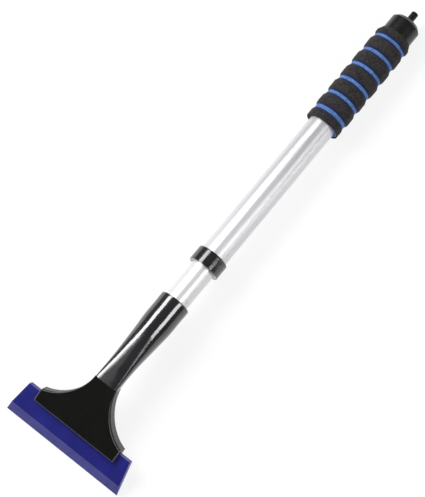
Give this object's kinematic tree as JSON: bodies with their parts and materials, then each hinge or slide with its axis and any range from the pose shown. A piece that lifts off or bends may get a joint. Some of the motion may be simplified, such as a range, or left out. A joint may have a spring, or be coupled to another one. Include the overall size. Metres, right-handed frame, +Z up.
{
  "type": "windshield ice scraper",
  "caption": "Telescopic scraper: a soft urethane blade clamped in a bent head, on a twist-lock aluminium handle with a foam grip.",
  "frame": {"origin": "on the surface the tool lies on, under the middle of its length and width", "axes": "+X from the blade to the end cap, +Y to the left seen from the grip towards the blade, +Z up; the tool lies on its back, front plate up"},
  "size_m": [0.5556, 0.1356, 0.0487],
  "materials": {
    "head_plastic": "gloss",
    "plate_plastic": "fine matte texture",
    "blade_urethane": "satin, slightly translucent",
    "screw_steel": "zinc plated",
    "rivet_aluminium": "satin",
    "tube_inner_aluminium": "satin anodised",
    "tube_outer_aluminium": "satin anodised",
    "collar_plastic": "gloss",
    "foam_blue": "closed-cell foam",
    "foam_black": "closed-cell foam",
    "cap_plastic": "semi-gloss",
    "lock_nylon": "natural moulded",
    "drag_rubber": "matt",
    "nut_brass": "turned"
  },
  "bodies": {
    "handle": {"outer_tube": "tube_outer_aluminium", "collar": "collar_plastic", "grip_core": "foam_blue", "grip_band_1": "foam_black", "grip_band_2": "foam_black", "grip_band_3": "foam_black", "grip_band_4": "foam_black", "grip_band_5": "foam_black", "grip_band_6": "foam_black", "grip_band_7": "foam_black", "end_cap": "cap_plastic"},
    "lock_carriage": {"expander_sleeve": "lock_nylon", "drag_ring": "drag_rubber"},
    "wedge": {"wedge_nut": "nut_brass"},
    "lower_section": {"head_body": "head_plastic", "front_plate": "plate_plastic", "blade": "blade_urethane", "head_screws": "screw_steel", "socket_rivet": "rivet_aluminium", "inner_tube": "tube_inner_aluminium", "lock_plug": "lock_nylon", "lock_stud": "screw_steel", "stud_clip": "screw_steel"}
  },
  "joints": [
    {"name": "telescope", "type": "slide", "parent": "handle", "child": "lock_carriage", "axis": [-0.9993, 0, 0.038], "range_m": [-0.041, 0.222]},
    {"name": "twist_lock", "type": "hinge", "parent": "lock_carriage", "child": "lower_section", "pos_m": [-0.1024, 0, 0.03181], "axis": [-0.9993, 0, 0.038], "range_deg": [0, 180]},
    {"name": "nut_travel", "type": "slide", "parent": "lock_carriage", "child": "wedge", "axis": [0.9993, 0, -0.038], "range_m": [0, 0.00065]}
  ],
  "couplings": [
    {"joint": "nut_travel", "follows": "twist_lock", "m_per_rad": 0.00019894}
  ]
}
